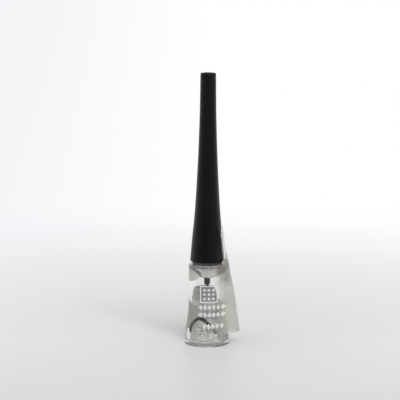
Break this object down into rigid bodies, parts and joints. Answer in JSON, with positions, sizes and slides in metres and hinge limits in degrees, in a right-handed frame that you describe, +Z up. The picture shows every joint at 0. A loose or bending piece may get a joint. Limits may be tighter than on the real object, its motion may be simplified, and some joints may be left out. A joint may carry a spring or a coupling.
{
  "type": "dip eyeliner bottle",
  "caption": "Dip eyeliner: small clear flared bottle of glitter gel with a tall flared screw cap that carries a fine brush, in a torn clear sleeve.",
  "frame": {"origin": "centre of the bottle's foot, in the plane it stands on", "axes": "+Z up along the axis of the bottle and cap, +X towards the ear of the torn sleeve, -Y towards the front of the picture"},
  "size_m": [0.0214, 0.0172, 0.1053],
  "materials": {
    "clear_plastic": "clear, polished, thick walled",
    "natural_plastic": "soft natural polyethylene, slightly milky",
    "glitter_gel": "silver grey gel full of fine glitter",
    "clear_film": "thin clear film, slightly milky, creased and torn",
    "seal_foam": "soft foam liner",
    "dark_plastic": "dark grey moulded plastic, satin",
    "black_plastic": "black, satin gloss, fine moulded surface",
    "stem_plastic": "black, smooth",
    "bristle": "fine black nylon filaments"
  },
  "bodies": {
    "bottle_body": {"bottle": "clear_plastic", "wiper": "natural_plastic", "liner_gel": "glitter_gel", "label_film": "clear_film"},
    "seal": {"seal_ring": "seal_foam"},
    "applicator": {"cap_shell": "black_plastic", "inner_cap": "dark_plastic", "stem": "stem_plastic", "brush": "bristle"}
  },
  "joints": [
    {"name": "applicator_lift", "type": "slide", "parent": "bottle_body", "child": "seal", "axis": [0, 0, 1], "range_m": [0, 0.034]},
    {"name": "cap_twist", "type": "hinge", "parent": "seal", "child": "applicator", "pos_m": [0, 0, 0.0364], "axis": [0, 0, 1], "continuous": true}
  ],
  "couplings": [
    {"joint": "cap_twist", "follows": "applicator_lift", "rad_per_m": 2618}
  ]
}
